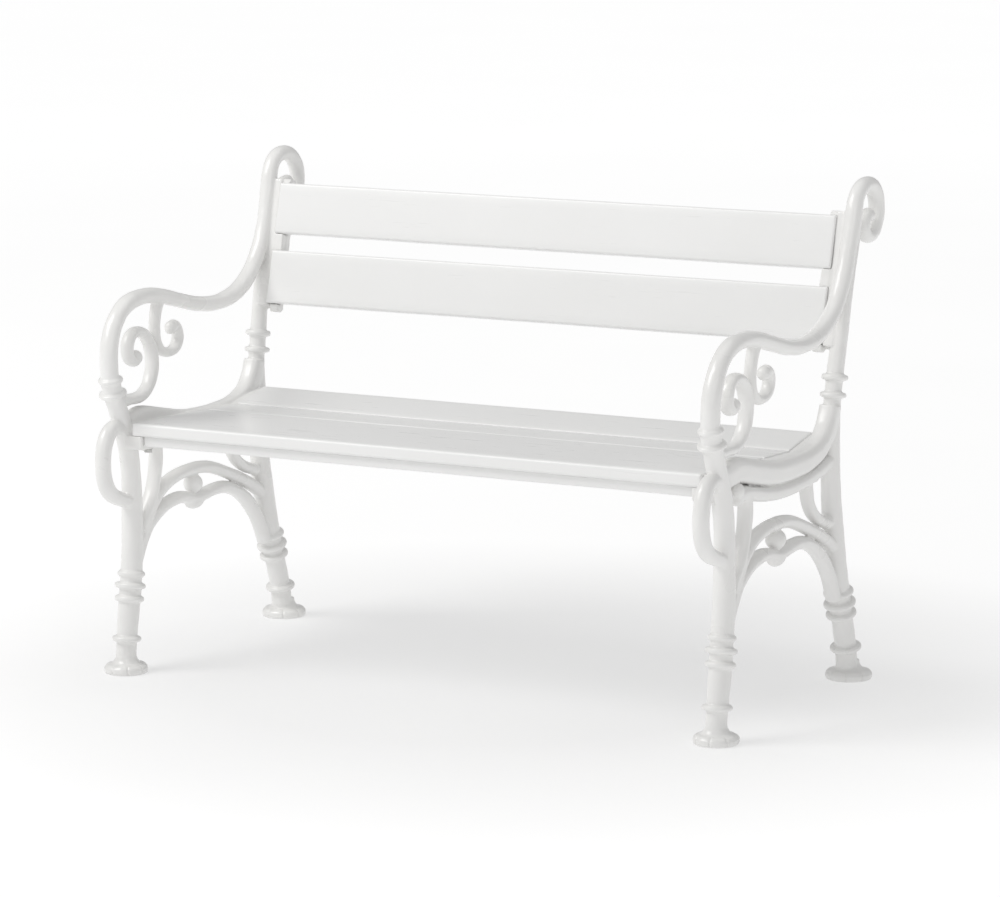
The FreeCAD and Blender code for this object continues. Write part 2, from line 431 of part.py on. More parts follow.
def main():
    os.makedirs("parts", exist_ok=True)
    out = {}
    axes = screw_axes()
    cast = casting()
    # screw holes through the ribs
    holes = []
    for name, p, n in axes:
        t = rib_thickness(name)
        holes.append(Part.makeCylinder(SCREW_HOLE / 2, t + 30.0, p - n * (t + 28.0), n))
    cast = cast.cut(holes)
    cast = sorted(cast.Solids, key=lambda q: -q.Volume)[0]
    out["right_end_casting"] = finish_pos(cast)
    out["left_end_casting"] = finish_pos(cast, True)

    # boards
    xs = HALF - SEAT_END_GAP
    boards = {}
    for name, b in (("seat_front", FRONT_BOARD), ("seat_middle", MIDDLE_BOARD), ("seat_rear", REAR_BOARD)):
        boards[name] = rot_box(b[0], board_w(b), SLAT_T, board_ang(b), -xs, xs, SLAT_EDGE_R)
    xb = HALF - BACK_END_GAP
    for name, z, w in (("back_lower", BACK_LOW_Z, LOW_SLAT_W), ("back_upper", BACK_UP_Z, UP_SLAT_W)):
        p = back_pt(z)
        b = Part.makeBox(2 * xb, w, SLAT_T, V(-xb, 0, -SLAT_T))
        es = [e for e in b.Edges if abs(e.Vertexes[0].X - e.Vertexes[1].X) > 1.0]
        b = b.makeFillet(SLAT_EDGE_R, es)
        b.rotate(V(0, 0, 0), V(1, 0, 0), 90.0 - math.degrees(back_ang))
        b.translate(V(0, p[0], p[1]))
        boards[name] = b
    # screws, washers and their pilot holes
    screws = {k: [] for k in boards}
    washers = {k: [] for k in boards}
    pilots = {k: [] for k in boards}
    for name, p, n in axes:
        t = rib_thickness(name)
        seat = p - n * t                                   # outer face of the rib
        w0 = seat - n * WASHER_T
        sh = Part.makeCylinder(SCREW_D / 2, t + WASHER_T + 15.0, w0, n)
        hd = hexagon(w0 - n * HEAD_H, n, HEAD_H, HEAD_AF)
        screws[name].append(hd.fuse(sh).removeSplitter())
        washers[name].append(Part.makeCylinder(WASHER_D / 2, WASHER_T, w0, n).cut(Part.makeCylinder(SCREW_D / 2 + 0.25, WASHER_T * 3, w0 - n * WASHER_T, n)))
        pilots[name].append(Part.makeCylinder(SCREW_D / 2, 15.0 + 2.0, p - n * 2.0, n))
    for name, b in boards.items():
        cut = []
        for q in pilots[name]:
            a = q.copy(); a.translate(V(HALF, 0, 0))
            m = q.mirror(V(0, 0, 0), V(1, 0, 0)); m.translate(V(-HALF, 0, 0))
            cut += [a, m]
        b = b.cut(cut)
        b.translate(V(0, Y_SHIFT, 0))
        nm = {"seat_front": "seat_board_front", "seat_middle": "seat_board_middle", "seat_rear": "seat_board_rear",
              "back_lower": "back_slat_lower", "back_upper": "back_slat_upper"}[name]
        out[nm] = b.Solids[0]
        out[nm + "_screws"] = group(both_sides(screws[name]))
        out[nm + "_washers"] = group(both_sides(washers[name]))

    # stiffening rail under the front board, between the seat ribs
    a = board_ang(FRONT_BOARD)
    n = (math.sin(a), -math.cos(a))
    f0 = (FRONT_BOARD[0][0] + RAIL_SET * math.cos(a) + n[0] * SLAT_T, FRONT_BOARD[0][1] + RAIL_SET * math.sin(a) + n[1] * SLAT_T)
    xr = HALF - RIB_IN - 0.3
    rail = rot_box(f0, RAIL_T, RAIL_H, a, -xr, xr, 2.0)
    rail.translate(V(0, Y_SHIFT, 0))
    # wood screws up through the rail into the board
    rs, rp = [], []
    L = 30.0
    for x in (-400.0, -133.0, 133.0, 400.0):
        c = V(x, f0[0] + RAIL_T / 2 * math.cos(a) + Y_SHIFT, f0[1] + RAIL_T / 2 * math.sin(a))
        nn = V(0, -math.sin(a), math.cos(a))
        base = c - nn * RAIL_H
        sh = Part.makeCylinder(2.25, L, base, nn)
        hd = Part.makeCone(4.5, 2.25, 2.6, base, nn)
        s = sh.fuse(hd).removeSplitter()
        rs.append(s)
        rp.append(s)
    rail = rail.cut(rp)
    fb = out["seat_board_front"].cut(rp)
    out["seat_board_front"] = fb.Solids[0]
    out["front_seat_rail"] = rail.Solids[0]
    out["front_seat_rail_screws"] = group(rs)

    for name, s in out.items():
        bad = [q for q in s.Solids if not q.isValid()]
        bb = s.BoundBox
        print(f"{name:28s} solids {len(s.Solids):2d} valid {s.isValid() and not bad} vol {s.Volume/1000:9.1f} cm3  "
              f"x {bb.XMin:7.1f} {bb.XMax:7.1f} y {bb.YMin:7.1f} {bb.YMax:7.1f} z {bb.ZMin:6.1f} {bb.ZMax:6.1f}")
        s.exportStep("parts/" + name + ".step")

main()
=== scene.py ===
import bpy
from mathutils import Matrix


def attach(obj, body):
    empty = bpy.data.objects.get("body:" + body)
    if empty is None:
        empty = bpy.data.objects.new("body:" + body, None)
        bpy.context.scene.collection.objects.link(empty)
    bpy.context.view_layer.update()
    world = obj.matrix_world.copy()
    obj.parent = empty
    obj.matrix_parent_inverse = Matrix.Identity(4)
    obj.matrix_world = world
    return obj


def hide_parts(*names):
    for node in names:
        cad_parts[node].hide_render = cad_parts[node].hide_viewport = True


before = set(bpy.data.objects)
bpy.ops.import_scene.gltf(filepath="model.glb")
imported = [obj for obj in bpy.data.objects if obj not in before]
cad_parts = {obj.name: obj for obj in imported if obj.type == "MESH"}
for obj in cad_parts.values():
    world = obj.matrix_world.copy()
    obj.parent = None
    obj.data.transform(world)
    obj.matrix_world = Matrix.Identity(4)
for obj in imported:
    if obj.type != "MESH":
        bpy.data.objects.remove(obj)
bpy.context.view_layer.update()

import math
import bpy
import bmesh
import numpy as np
from mathutils import Vector, Matrix

CY = -0.27143                      # the drawing's y = 0 (front foot) in the frame
HALF = 0.560                       # centre plane of each end casting
BACK_SLOPE = 0.2735
COL = bpy.context.scene.collection

# ------------------------------------------------------------- materials ----
def node(nt, kind, **inputs):
    n = nt.nodes.new(kind)
    for k, v in inputs.items():
        n.inputs[k.replace("_", " ")].default_value = v
    return n

def ramp(nt, stops):
    r = nt.nodes.new("ShaderNodeValToRGB")
    els = r.color_ramp.elements
    while len(els) < len(stops):
        els.new(0.5)
    for e, (p, c) in zip(els, stops):
        e.position = p
        e.color = (c, c, c, 1.0) if isinstance(c, float) else (*c, 1.0)
    return r

def noise(nt, vec, scale, detail=4.0, rough=0.5, dist=0.0):
    n = nt.nodes.new("ShaderNodeTexNoise")
    n.inputs["Scale"].default_value = scale
    n.inputs["Detail"].default_value = detail
    n.inputs["Roughness"].default_value = rough
    n.inputs["Distortion"].default_value = dist
    nt.links.new(vec, n.inputs["Vector"])
    return n

def mapping(nt, scale):
    tc = nt.nodes.new("ShaderNodeTexCoord")
    mp = nt.nodes.new("ShaderNodeMapping")
    mp.inputs["Scale"].default_value = scale
    nt.links.new(tc.outputs["Object"], mp.inputs["Vector"])
    return mp.outputs["Vector"]

def bump(nt, height, strength, distance, prev=None):
    b = nt.nodes.new("ShaderNodeBump")
    b.inputs["Strength"].default_value = strength
    b.inputs["Distance"].default_value = distance
    nt.links.new(height, b.inputs["Height"])
    if prev is not None:
        nt.links.new(prev, b.inputs["Normal"])
    return b.outputs["Normal"]

def mix_col(nt, fac, a, b, mode="MIX"):
    m = nt.nodes.new("ShaderNodeMix")
    m.data_type = "RGBA"
    m.blend_type = mode
    for sock, v in ((m.inputs[0], fac), (m.inputs[6], a), (m.inputs[7], b)):
        if hasattr(v, "is_output"):
            nt.links.new(v, sock)
        elif isinstance(v, (int, float)):
            sock.default_value = v
        else:
            sock.default_value = (*v, 1.0)
    return m.outputs[2]

def start(name):
    m = bpy.data.materials.new(name)
    m.use_nodes = True
    nt = m.node_tree
    p = nt.nodes["Principled BSDF"]
    return m, nt, p

def paint_iron():
    """Thick glossy white paint over a sand casting: faint mottling, sags in the film, and painted shade darkening the
    hollows."""
    m, nt, p = start("painted_iron")
    v = mapping(nt, (1.0, 1.0, 1.0))
    big = noise(nt, v, 9.0, 3.0, 0.55)
    tone = ramp(nt, ((0.30, (0.846, 0.841, 0.827)), (0.75, (0.874, 0.871, 0.860))))
    nt.links.new(big.outputs["Fac"], tone.inputs["Fac"])
    # painted shade: concave spots (low pointiness) are mixed toward a dark warm grey to stand in for the shade in the
    # crevices
    geo = nt.nodes.new("ShaderNodeNewGeometry")
    painted_crevice_shade = ramp(nt, ((0.28, 0.75), (0.38, 0.22), (0.44, 0.0)))
    nt.links.new(geo.outputs["Pointiness"], painted_crevice_shade.inputs["Fac"])
    col = mix_col(nt, painted_crevice_shade.outputs["Color"], tone.outputs["Color"], (0.36, 0.335, 0.295))
    nt.links.new(col, p.inputs["Base Color"])
    rr = ramp(nt, ((0.3, 0.26), (0.7, 0.34)))
    nt.links.new(big.outputs["Fac"], rr.inputs["Fac"])
    nt.links.new(rr.outputs["Color"], p.inputs["Roughness"])
    sag = noise(nt, v, 14.0, 1.0, 0.4)
    nt.links.new(bump(nt, sag.outputs["Fac"], 0.12, 0.0020), p.inputs["Normal"])
    p.inputs["Coat Weight"].default_value = 0.25
    p.inputs["Coat Roughness"].default_value = 0.12
    p.inputs["IOR"].default_value = 1.50
    return m

def paint_board():
    """Brushed white paint over planed boards: long brush marks and a shallow grain that shows through."""
    m, nt, p = start("painted_board")
    v = mapping(nt, (1.0, 1.0, 1.0))
    vl = mapping(nt, (1.6, 34.0, 34.0))
    vg = mapping(nt, (3.0, 120.0, 120.0))
    big = noise(nt, v, 4.0, 3.0, 0.5)
    brush = noise(nt, vl, 6.0, 5.0, 0.6, 0.3)
    grain = noise(nt, vg, 5.0, 6.0, 0.62, 0.8)
    tone = ramp(nt, ((0.30, (0.862, 0.862, 0.855)), (0.75, (0.884, 0.884, 0.879))))
    nt.links.new(big.outputs["Fac"], tone.inputs["Fac"])
    streak = ramp(nt, ((0.35, 0.0), (0.8, 1.0)))
    nt.links.new(brush.outputs["Fac"], streak.inputs["Fac"])
    sm = nt.nodes.new("ShaderNodeMath")
    sm.operation = "MULTIPLY"
    nt.links.new(streak.outputs["Color"], sm.inputs[0])
    sm.inputs[1].default_value = 0.06
    col = mix_col(nt, sm.outputs[0], tone.outputs["Color"], (0.800, 0.798, 0.785))
    nt.links.new(col, p.inputs["Base Color"])
    rr = ramp(nt, ((0.3, 0.26), (0.7, 0.42)))
    nt.links.new(brush.outputs["Fac"], rr.inputs["Fac"])
    nt.links.new(rr.outputs["Color"], p.inputs["Roughness"])
    b1 = bump(nt, big.outputs["Fac"], 0.12, 0.0020)
    b2 = bump(nt, brush.outputs["Fac"], 0.04, 0.0004, b1)
    b3 = bump(nt, grain.outputs["Fac"], 0.02, 0.0002, b2)
    nt.links.new(b3, p.inputs["Normal"])
    p.inputs["Coat Weight"].default_value = 0.15
    p.inputs["Coat Roughness"].default_value = 0.18
    return m

def zinc():
    """Dull zinc-plated steel: crystalline mottling and fine scratches."""
    m, nt, p = start("fastener_steel")
    v = mapping(nt, (1.0, 1.0, 1.0))
    spang = nt.nodes.new("ShaderNodeTexVoronoi")
    spang.inputs["Scale"].default_value = 420.0
    nt.links.new(v, spang.inputs["Vector"])
    fine = noise(nt, v, 900.0, 4.0, 0.6)
    tone = ramp(nt, ((0.1, (0.50, 0.50, 0.49)), (0.9, (0.66, 0.655, 0.64))))
    nt.links.new(spang.outputs["Distance"], tone.inputs["Fac"])
    rust = noise(nt, v, 210.0, 5.0, 0.7)
    rf = ramp(nt, ((0.60, 0.0), (0.78, 0.55)))
    nt.links.new(rust.outputs["Fac"], rf.inputs["Fac"])
    col = mix_col(nt, rf.outputs["Color"], tone.outputs["Color"], (0.34, 0.25, 0.19))
    nt.links.new(col, p.inputs["Base Color"])
    p.inputs["Metallic"].default_value = 0.92
    rr = ramp(nt, ((0.3, 0.34), (0.7, 0.52)))
    nt.links.new(fine.outputs["Fac"], rr.inputs["Fac"])
    nt.links.new(rr.outputs["Color"], p.inputs["Roughness"])
    nt.links.new(bump(nt, fine.outputs["Fac"], 0.25, 0.0002), p.inputs["Normal"])
    return m

IRON, BOARD, ZINC = paint_iron(), paint_board(), zinc()
for n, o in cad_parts.items():
    o.data.materials.clear()
    o.data.materials.append(ZINC if ("screws" in n or "washers" in n) else IRON if "casting" in n else BOARD)

# --------------------------------------------------------------- helpers ----
def mesh_object(name, verts, faces, mat, smooth=True):
    me = bpy.data.meshes.new(name)
    me.from_pydata([tuple(v) for v in verts], [], [tuple(f) for f in faces])
    me.validate()
    o = bpy.data.objects.new(name, me)
    COL.objects.link(o)
    me.materials.append(mat)
    me.polygons.foreach_set("use_smooth", [smooth] * len(me.polygons))
    me.update()
    return o

def wob(p, seed, wave, amp):
    """Smooth repeatable unevenness: a few crossed sine waves."""
    rng = np.random.RandomState(seed)
    out = np.zeros(len(p))
    for _ in range(9):
        d = rng.normal(size=3)
        d /= np.linalg.norm(d)
        k = 2 * math.pi / (wave * rng.uniform(0.6, 1.5))
        out += np.sin((p @ d) * k + rng.uniform(0, 6.28)) * rng.uniform(0.5, 1.0)
    return amp * out / 3.0

def get_co(me):
    co = np.zeros(len(me.vertices) * 3)
    me.vertices.foreach_get("co", co)
    return co.reshape(-1, 3)

def set_co(me, co):
    me.vertices.foreach_set("co", co.reshape(-1).astype(np.float32))
    me.update()

def normals(me):
    n = np.zeros(len(me.vertices) * 3, np.float32)
    me.vertices.foreach_get("normal", n)
    return n.reshape(-1, 3).astype(float)

# ------------------------------------------------------------ the castings --
BALLS = ((0.0050, 0.0617, 0.4012, 0.0125), (0.0060, 0.3636, 0.3732, 0.0075), (0.0060, 0.4083, 0.2929, 0.0085))

def cast_side(node_name, name, sign):
    """The casting as it looks under its paint: cast fillets in every corner,
    softened rings, a hand-finished unevenness and scalloped foot rims."""
    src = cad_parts[node_name]
    me = src.data.copy()
    me.name = name
    # the small cast balls where the brace, the band and the rear hook end
    bm = bmesh.new()
    bm.from_mesh(me)
    for bx, by, bz, br in BALLS:
        bmesh.ops.create_icosphere(bm, subdivisions=4, radius=br, matrix=Matrix.Translation((sign * (HALF + bx), by + CY, bz)))
    bm.to_mesh(me)
    bm.free()
    o = bpy.data.objects.new(name, me)
    COL.objects.link(o)
    vox = 0.0014
    r = o.modifiers.new("skin", "REMESH")
    r.mode = "VOXEL"
    r.voxel_size = vox
    r.adaptivity = 0.0
    dg = bpy.context.evaluated_depsgraph_get()
    new = bpy.data.meshes.new_from_object(o.evaluated_get(dg))
    o.modifiers.clear()
    o.data = new
    bpy.data.meshes.remove(me)
    me = new
    me.name = name

    co = get_co(me)
    ne = len(me.edges)
    ed = np.zeros(ne * 2, np.int64)
    me.edges.foreach_get("vertices", ed)
    ed = ed.reshape(-1, 2)
    nv = len(co)
    deg = np.bincount(ed.ravel(), minlength=nv).astype(float)
    deg[deg == 0] = 1

    def smooth(c, times, lam=0.5):
        for _ in range(times):
            acc = np.empty_like(c)
            for k in range(3):
                acc[:, k] = (np.bincount(ed[:, 0], weights=c[ed[:, 1], k], minlength=nv)
                             + np.bincount(ed[:, 1], weights=c[ed[:, 0], k], minlength=nv))
            c = c + lam * (acc / deg[:, None] - c)
        return c

    base = co.copy()
    # fillets: run a smoothing pass, but only keep what adds metal to a corner
    sm = smooth(co, 7)
    set_co(me, sm)
    nrm = normals(me)
    d = ((sm - smooth(base, 2)) * nrm).sum(1)
    keep = np.where(d > 0, 1.0, 0.35)
    keep = smooth(np.repeat(keep[:, None], 3, 1), 3)[:, :1]
    co = smooth(base, 2) * (1 - keep) + sm * keep
    # take the fine ripple off without shrinking the rings and scrolls
    for _ in range(12):
        co = smooth(co, 1, 0.50)
        co = smooth(co, 1, -0.52)
    set_co(me, co)
    nrm = normals(me)

    # local coordinates in the casting's own plane
    X = (co[:, 0] * sign - HALF)
    Y = co[:, 1] - CY
    Z = co[:, 2]
    P = np.stack([X, Y, Z], 1)

    off = wob(P, 11, 0.070, 0.00042) + wob(P, 12, 0.026, 0.00018)
    off += 0.00025

    # scalloped rims of the feet, and sunk flutes on their tops
    for fy, R, lobes, ph in ((0.0, 0.0385, 8, 0.25), (0.5286, 0.0405, 8, 0.1)):
        dx, dy = X, Y - fy
        rad = np.hypot(dx, dy)
        ang = np.arctan2(dy, dx) + ph
        w = np.clip((0.0150 - Z) / 0.003, 0, 1) * np.clip((Z - 0.0008) / 0.0012, 0, 1) * np.clip((rad - 0.020) / 0.012, 0, 1)
        w *= (rad < R + 0.012)
        lob = np.abs(np.cos(ang * lobes / 2.0))
        notch = np.exp(-(lob / 0.12) ** 2)
        off += w * (-0.0016 * notch + 0.0003 * lob)
        # the rim's lower edge tucks under
        w3 = np.exp(-((Z - 0.0118) / 0.0034) ** 2) * (rad > R - 0.017) * (rad < R + 0.01)
        off += w3 * 0.0028
        w4 = np.clip((0.0085 - Z) / 0.003, 0, 1) * (rad > R - 0.006) * (rad < R + 0.01)
        off -= w4 * 0.0011
        w2 = np.clip((0.0030 - Z) / 0.003, 0, 1) * (rad > R - 0.006) * (rad < R + 0.01)
        off -= 0.0008 * w2

    # crevice between the deep seat rail and the band below it, ragged from
    # the mould, and the shallow seam where the tube lies on the rear post
    def groove(path, width, depth, lump, seed):
        pts = np.array(path) / 1000.0
        best = np.full(len(P), 1e9)
        along = np.zeros(len(P))
        run = 0.0
        box = ((Y > pts[:, 0].min() - 0.02) & (Y < pts[:, 0].max() + 0.02)
               & (Z > pts[:, 1].min() - 0.02) & (Z < pts[:, 1].max() + 0.02))
        idx = np.nonzero(box)[0]
        q = np.stack([Y[idx], Z[idx]], 1)
        bb = np.full(len(idx), 1e9)
        al = np.zeros(len(idx))
        for i in range(len(pts) - 1):
            a, b = pts[i], pts[i + 1]
            ab = b - a
            L = np.hypot(*ab)
            t = np.clip(((q - a) @ ab) / (L * L), 0, 1)
            dd = np.hypot(*(q - a - t[:, None] * ab).T)
            m = dd < bb
            bb[m] = dd[m]
            al[m] = run + t[m] * L
            run += L
        wv = 1.0 + lump * np.sin(al * 2 * math.pi / 0.021 + seed) * np.sin(al * 2 * math.pi / 0.0083 + seed * 2)
        end = np.clip(al / 0.02, 0, 1) * np.clip((run - al) / 0.02, 0, 1)
        f = np.exp(-(bb / (width * wv)) ** 2) * end
        return idx, f * depth
    for path, wdt, dep, lump, seed in (
            (((100, 402), (112, 400.5), (140, 396), (172, 391), (210, 386.5), (255, 384.4), (300, 384.6), (342, 387.5), (375, 393), (402, 401.5)), 0.0016, 0.0026, 0.45, 1.3),
            (((73.9, 396.1), (74.9, 401.2), (73.9, 406.3), (71.0, 410.5), (66.8, 413.4), (61.7, 414.4), (56.6, 413.4), (52.4, 410.5), (49.5, 406.3), (48.5, 401.2), (49.5, 396.1), (52.4, 391.9), (56.6, 389.0), (61.7, 388.0), (66.8, 389.0)), 0.0015, 0.0024, 0.3, 0.7),
            (((476, 658), (488, 690), (498, 722), (507, 752), (515, 780)), 0.0016, 0.0012, 0.3, 2.0)):
        idx, f = groove(path, wdt, dep, lump, seed)
        side = np.abs(nrm[idx, 0])
        off[idx] -= f * np.clip(side * 1.5, 0, 1)

    # the soles stay flat
    off *= np.clip((Z - 0.0006) / 0.0012, 0, 1) + 0.0
    co = co + nrm * off[:, None]
    co[:, 2] = np.maximum(co[:, 2], 0.0)
    set_co(me, co)
    me.materials.clear()
    me.materials.append(IRON)
    me.polygons.foreach_set("use_smooth", [True] * len(me.polygons))
    me.polygons.foreach_set("material_index", [0] * len(me.polygons))
    me.update()
    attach(o, "root")
    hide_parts(node_name)
    return o

cast_side("right_end_casting", "right_casting_painted", 1)
cast_side("left_end_casting", "left_casting_painted", -1)

# ---------------------------------------------------------------- boards ----
def board(name, node_name, front, rear, thick, half_len, edge, seed, stations=None, bow=0.0):
    """A planed board whose top face runs from front to rear (y, z in mm).
    Rounded long edges, eased ends, a slight hand-planed waviness."""
    a, b = np.array(front) / 1000.0, np.array(rear) / 1000.0
    a[0] += CY
    b[0] += CY
    u = (b - a)
    W = np.hypot(*u)
    u /= W
    n = np.array([-u[1], u[0]])          # out of the top face
    T, r = thick / 1000.0, edge / 1000.0
    prof = []
    seg = 7
    def corner(cx, cy, a0, s=1.0):
        for i in range(seg + 1):
            t = math.radians(a0 + 90.0 * i / seg)
            prof.append((cx + r * math.cos(t), cy + r * math.sin(t)))
    def flat(p, q, k):
        for i in range(1, k):
            prof.append((p[0] + (q[0] - p[0]) * i / k, p[1] + (q[1] - p[1]) * i / k))
    k = max(3, int(W / 0.012))
    corner(W - r, -r, 0)                  # top rear
    flat((W - r, 0), (r, 0), k)
    corner(r, -r, 90)                     # top front
    flat((0, -r), (0, -T + r), 2)
    corner(r, -T + r, 180)
    flat((r, -T), (W - r, -T), k)
    corner(W - r, -T + r, 270)
    flat((W, -T + r), (W, -r), 2)
    prof = np.array(prof)
    cen = np.array([W / 2, -T / 2])
    H = half_len / 1000.0
    nx = 150
    xs = np.linspace(-H + 0.0032, H - 0.0032, nx)
    rings = []
    ends = [(0.0, 0.0032, 3.2), (0.0004, 0.0016, 1.7), (0.0010, 0.0007, 0.8), (0.0020, 0.0001, 0.25)]
    for dx, ins, _ in ends:
        rings.append((-H + dx, ins))
    for x in xs:
        rings.append((x, 0.0))
    for dx, ins, _ in reversed(ends):
        rings.append((H - dx, ins))
    m = len(prof)
    V = []
    for x, ins in rings:
        q = prof.copy()
        if ins:
            q[:, 0] = np.clip(q[:, 0], ins, W - ins)
            q[:, 1] = np.clip(q[:, 1], -T + ins, -ins)
        sag = bow * (1 - (x / H) ** 2)
        yy = a[0] + q[:, 0] * u[0] + (q[:, 1]) * n[0]
        zz = a[1] + q[:, 0] * u[1] + (q[:, 1]) * n[1] - sag
        V.append(np.stack([np.full(m, x), yy, zz], 1))
    V = np.concatenate(V)
    F = []
    R = len(rings)
    for i in range(R - 1):
        for j in range(m):
            j2 = (j + 1) % m
            F.append((i * m + j, i * m + j2, (i + 1) * m + j2, (i + 1) * m + j))
    # end caps, as inset rings closing on the middle
    def cap(first, flip):
        base = first * m
        ring = list(range(base, base + m))
        prev = ring
        c0 = V_all[ring].mean(0)
        for s in (0.72, 0.4, 0.12):
            new = []
            for idx in ring:
                V_all_list.append(c0 + (V_all[idx] - c0) * np.array([1, s, s]))
                new.append(len(V_all_list) - 1)
            for j in range(m):
                j2 = (j + 1) % m
                f = (prev[j], prev[j2], new[j2], new[j])
                F.append(f if flip else f[::-1])
            prev = new
        F.append(tuple(prev[::-1]) if not flip else tuple(prev))
    V_all = V
    V_all_list = [v for v in V]
    cap(0, False)
    cap(R - 1, True)
    V = np.array(V_all_list)
    # waviness along the board and softly worn edges
    mid = np.stack([V[:, 0], V[:, 1] * 2.2, V[:, 2] * 2.2], 1)
    off = wob(mid, seed, 0.36, 0.00030) + wob(mid, seed + 1, 0.10, 0.00009)
    fade = np.clip((H - np.abs(V[:, 0])) / 0.01, 0, 1)
    o = mesh_object(name, V, F, BOARD)
    bm = bmesh.new()
    bm.from_mesh(o.data)
    bmesh.ops.recalc_face_normals(bm, faces=bm.faces)
    bm.to_mesh(o.data)
    bm.free()
    nn = normals(o.data)
    set_co(o.data, get_co(o.data) + nn * (off * fade)[:, None])
    o.data.polygons.foreach_set("use_smooth", [True] * len(o.data.polygons))
    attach(o, "root")
    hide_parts(node_name)
    return o

board("seat_front_plank", "seat_board_front", (-9.0, 436.5), (232.0, 426.0), 22.0, 534.0, 5.2, 51)
board("seat_middle_plank", "seat_board_middle", (236.0, 425.4), (329.5, 421.6), 22.0, 534.0, 4.0, 53)
board("seat_rear_plank", "seat_board_rear", (333.0, 422.6), (425.0, 440.0), 22.0, 534.0, 4.0, 55)
ang = math.atan(BACK_SLOPE)
def back_line(z, w):
    y = 473.0 + BACK_SLOPE * (z - 700.0)
    return (y + math.sin(ang) * w, z + math.cos(ang) * w), (y, z)
hi, lo = back_line(588.0, 95.0)
board("back_lower_plank", "back_slat_lower", lo, hi, 22.0, 540.2, 4.6, 57)
hi, lo = back_line(709.0, 91.0)
board("back_upper_plank", "back_slat_upper", lo, hi, 22.0, 540.2, 4.6, 59)
a0 = math.atan2(426.0 - 436.5, 241.0)
nd = (math.sin(a0), -math.cos(a0))
f0 = (-9.0 + 10.0 * math.cos(a0) + nd[0] * 22.15, 436.5 + 10.0 * math.sin(a0) + nd[1] * 22.15)
f1 = (f0[0] + 22.0 * math.cos(a0), f0[1] + 22.0 * math.sin(a0))
board("front_rail_batten", "front_seat_rail", f0, f1, 17.0, 517.2, 2.2, 61)

# ------------------------------------------------------------- fasteners ----
def lathe(profile, seg=28):
    """(r, h) profile turned about the local z axis; closed at both ends."""
    V, F = [], []
    for r, h in profile:
        for i in range(seg):
            t = 2 * math.pi * i / seg
            V.append((r * math.cos(t), r * math.sin(t), h))
    k = len(profile)
    for a in range(k - 1):
        for i in range(seg):
            j = (i + 1) % seg
            F.append((a * seg + i, a * seg + j, (a + 1) * seg + j, (a + 1) * seg + i))
    V.append((0, 0, profile[0][1]))
    V.append((0, 0, profile[-1][1]))
    c0, c1 = len(V) - 2, len(V) - 1
    for i in range(seg):
        j = (i + 1) % seg
        F.append((c0, j, i))
        F.append((c1, (k - 1) * seg + i, (k - 1) * seg + j))
    return V, F

def hex_head(af, h):
    """Chamfered hexagon head, its bearing face at 0 and its crown at -h."""
    seg = 48
    R = af / math.sqrt(3.0)
    V, F = [], []
    rows = []
    def hexr(t):
        k = (t % (math.pi / 3)) - math.pi / 6
        return (af / 2) / math.cos(k)
    lev = [(0.0, lambda t: min(hexr(t), af / 2 * 1.06) - 0.0004), (-0.0004, lambda t: min(hexr(t), R * 0.99)),
           (-h * 0.5, lambda t: min(hexr(t), R * 0.99)), (-h + 0.0012, lambda t: min(hexr(t), R * 0.985)),
           (-h + 0.0005, lambda t: min(hexr(t), R * 0.945)), (-h, lambda t: min(hexr(t), R * 0.885)),
           (-h - 0.0002, lambda t: af / 2 * 0.80), (-h + 0.0002, lambda t: af / 2 * 0.72), (-h + 0.0002, lambda t: af / 2 * 0.3)]
    for z, fr in lev:
        row = []
        for i in range(seg):
            t = 2 * math.pi * i / seg
            r = fr(t)
            V.append((r * math.cos(t), r * math.sin(t), z))
            row.append(len(V) - 1)
        rows.append(row)
    for a, b in zip(rows, rows[1:]):
        for i in range(seg):
            j = (i + 1) % seg
            F.append((a[i], b[i], b[j], a[j]))
    V.append((0, 0, lev[-1][0]))
    for i in range(seg):
        F.append((rows[-1][i], len(V) - 1, rows[-1][(i + 1) % seg]))
    V.append((0, 0, 0))
    for i in range(seg):
        F.append((rows[0][(i + 1) % seg], len(V) - 1, rows[0][i]))
    return V, F

def place(parts, name, node_name):
    """parts: list of (verts, faces, origin, direction) joined as one piece."""
    VV, FF = [], []
    for V, F, org, d in parts:
        q = Vector((0, 0, 1)).rotation_difference(Vector(d).normalized()).to_matrix()
        base = len(VV)
        for v in V:
            VV.append(tuple(q @ Vector(v) + Vector(org)))
        for f in F:
            FF.append(tuple(base + i for i in f))
    o = mesh_object(name, VV, FF, ZINC)
    bm = bmesh.new()
    bm.from_mesh(o.data)
    bmesh.ops.recalc_face_normals(bm, faces=bm.faces)
    bm.to_mesh(o.data)
    bm.free()
    o.data.polygons.foreach_set("use_smooth", [True] * len(o.data.polygons))
    try:
        o.data.set_sharp_from_angle(angle=math.radians(32))
    except AttributeError:
        pass
    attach(o, "root")
    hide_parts(node_name)
    return o

def bang(b):
    return math.atan2(b[1][1] - b[0][1], b[1][0] - b[0][0])

